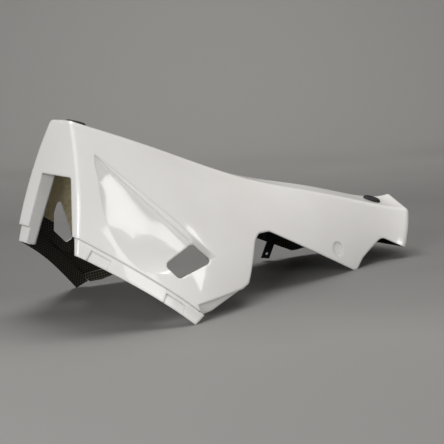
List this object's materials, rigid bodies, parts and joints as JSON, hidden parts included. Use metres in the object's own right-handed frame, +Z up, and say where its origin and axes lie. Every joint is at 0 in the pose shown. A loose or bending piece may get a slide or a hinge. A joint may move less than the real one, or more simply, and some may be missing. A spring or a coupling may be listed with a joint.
{
  "type": "motorcycle belly pan",
  "caption": "White moulded belly pan of a motorcycle lying keel up: a tapering trough with a joggled front flange, scooped sides with openings, drain plugs and a bolt-on tab.",
  "frame": {"origin": "on the floor under the middle of the pan's box, as it lies keel up", "axes": "+X to the tail, +Y to the side with the slot and the tab, +Z up from the floor to the keel"},
  "size_m": [0.838, 0.4164, 0.353],
  "materials": {
    "gelcoat_white": "glossy white gelcoat over a bare laminate inside",
    "rubber_black": "matte",
    "bracket_black": "satin black",
    "rivet_black": "satin black"
  },
  "bodies": {
    "root": {"shell": "gelcoat_white", "drain_plugs": "rubber_black", "bracket": "bracket_black", "rivets": "rivet_black"}
  },
  "joints": []
}
